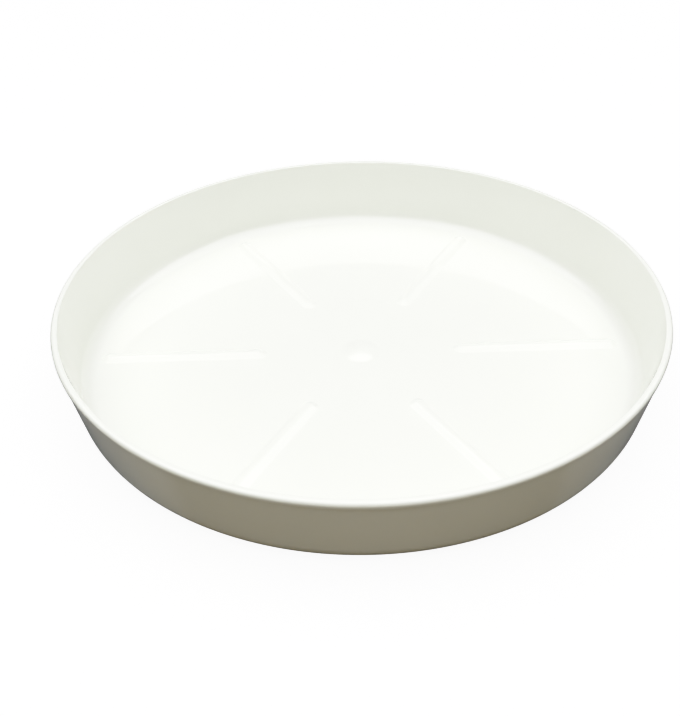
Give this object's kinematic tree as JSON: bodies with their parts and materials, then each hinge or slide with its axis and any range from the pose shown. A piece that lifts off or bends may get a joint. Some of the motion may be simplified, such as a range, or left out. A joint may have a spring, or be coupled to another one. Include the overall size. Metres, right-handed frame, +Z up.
{
  "type": "plant saucer",
  "caption": "Round plastic plant saucer: shallow dish with a leaning wall and rounded lip, whose raised radial ribs and low centre boss hold a flower pot above the water it catches.",
  "frame": {"origin": "on the table under the centre of the saucer", "axes": "+Z up along the saucer's axis, +X along the rib pot_rib_1, -Y towards the viewer of the picture"},
  "size_m": [0.25, 0.25, 0.034],
  "materials": {
    "white_plastic": "gloss"
  },
  "bodies": {
    "root": {"dish": "white_plastic", "pot_rib_1": "white_plastic", "pot_rib_2": "white_plastic", "pot_rib_3": "white_plastic", "pot_rib_4": "white_plastic", "pot_rib_5": "white_plastic", "pot_rib_6": "white_plastic", "centre_boss": "white_plastic"}
  },
  "joints": []
}
